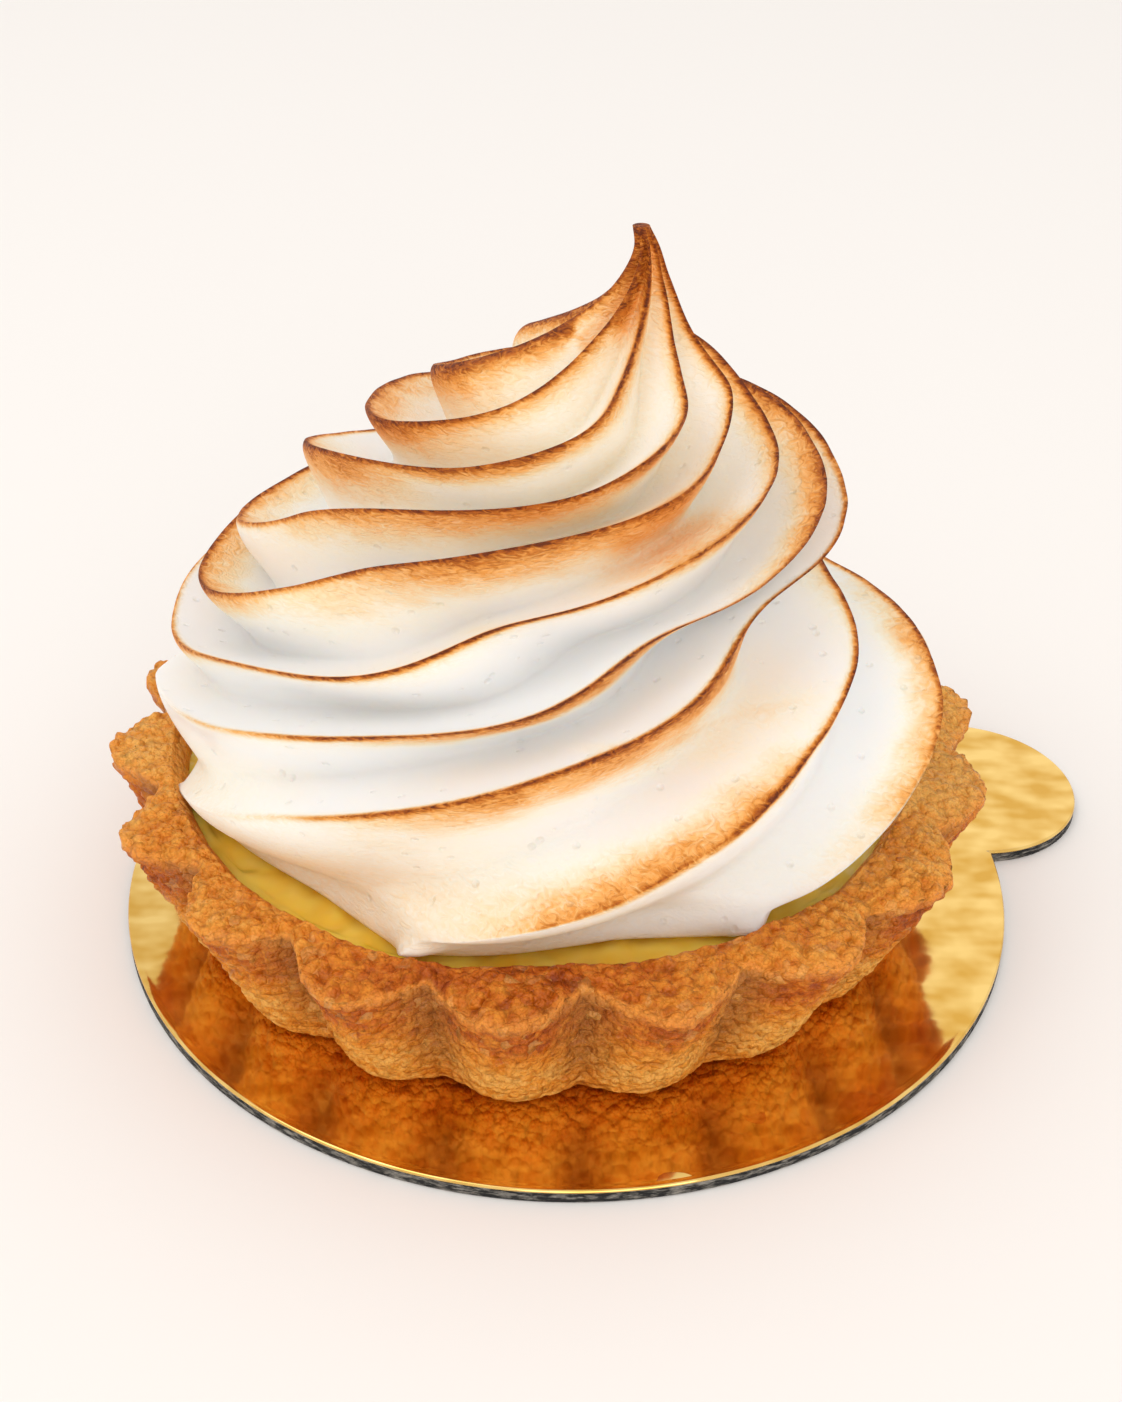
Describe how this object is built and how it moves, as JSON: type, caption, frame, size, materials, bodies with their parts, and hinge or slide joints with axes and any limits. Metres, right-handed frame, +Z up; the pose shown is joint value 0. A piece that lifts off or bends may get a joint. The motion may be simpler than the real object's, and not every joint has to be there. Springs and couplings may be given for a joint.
{
  "type": "meringue tart",
  "caption": "Small fluted shortcrust tart filled with lime curd, topped with one torched piped meringue swirl, on a round gold card with a finger tab.",
  "frame": {"origin": "centre of the round part of the card's underside", "axes": "+Z up, -Y towards the front, +X to the right, towards the card's tab"},
  "size_m": [0.1013, 0.09, 0.0688],
  "materials": {
    "gold_card": "gold foil on greyboard, mirror bright with a fine pressed texture",
    "shortcrust": "baked shortcrust pastry, matt and crumbly, darker at the rim",
    "lime_curd": "set lime curd, smooth and glossy",
    "meringue": "Italian meringue, satin white, torched brown on the blade edges"
  },
  "bodies": {
    "root": {"cake_board": "gold_card", "crust": "shortcrust", "lime_curd": "lime_curd", "meringue": "meringue"}
  },
  "joints": []
}
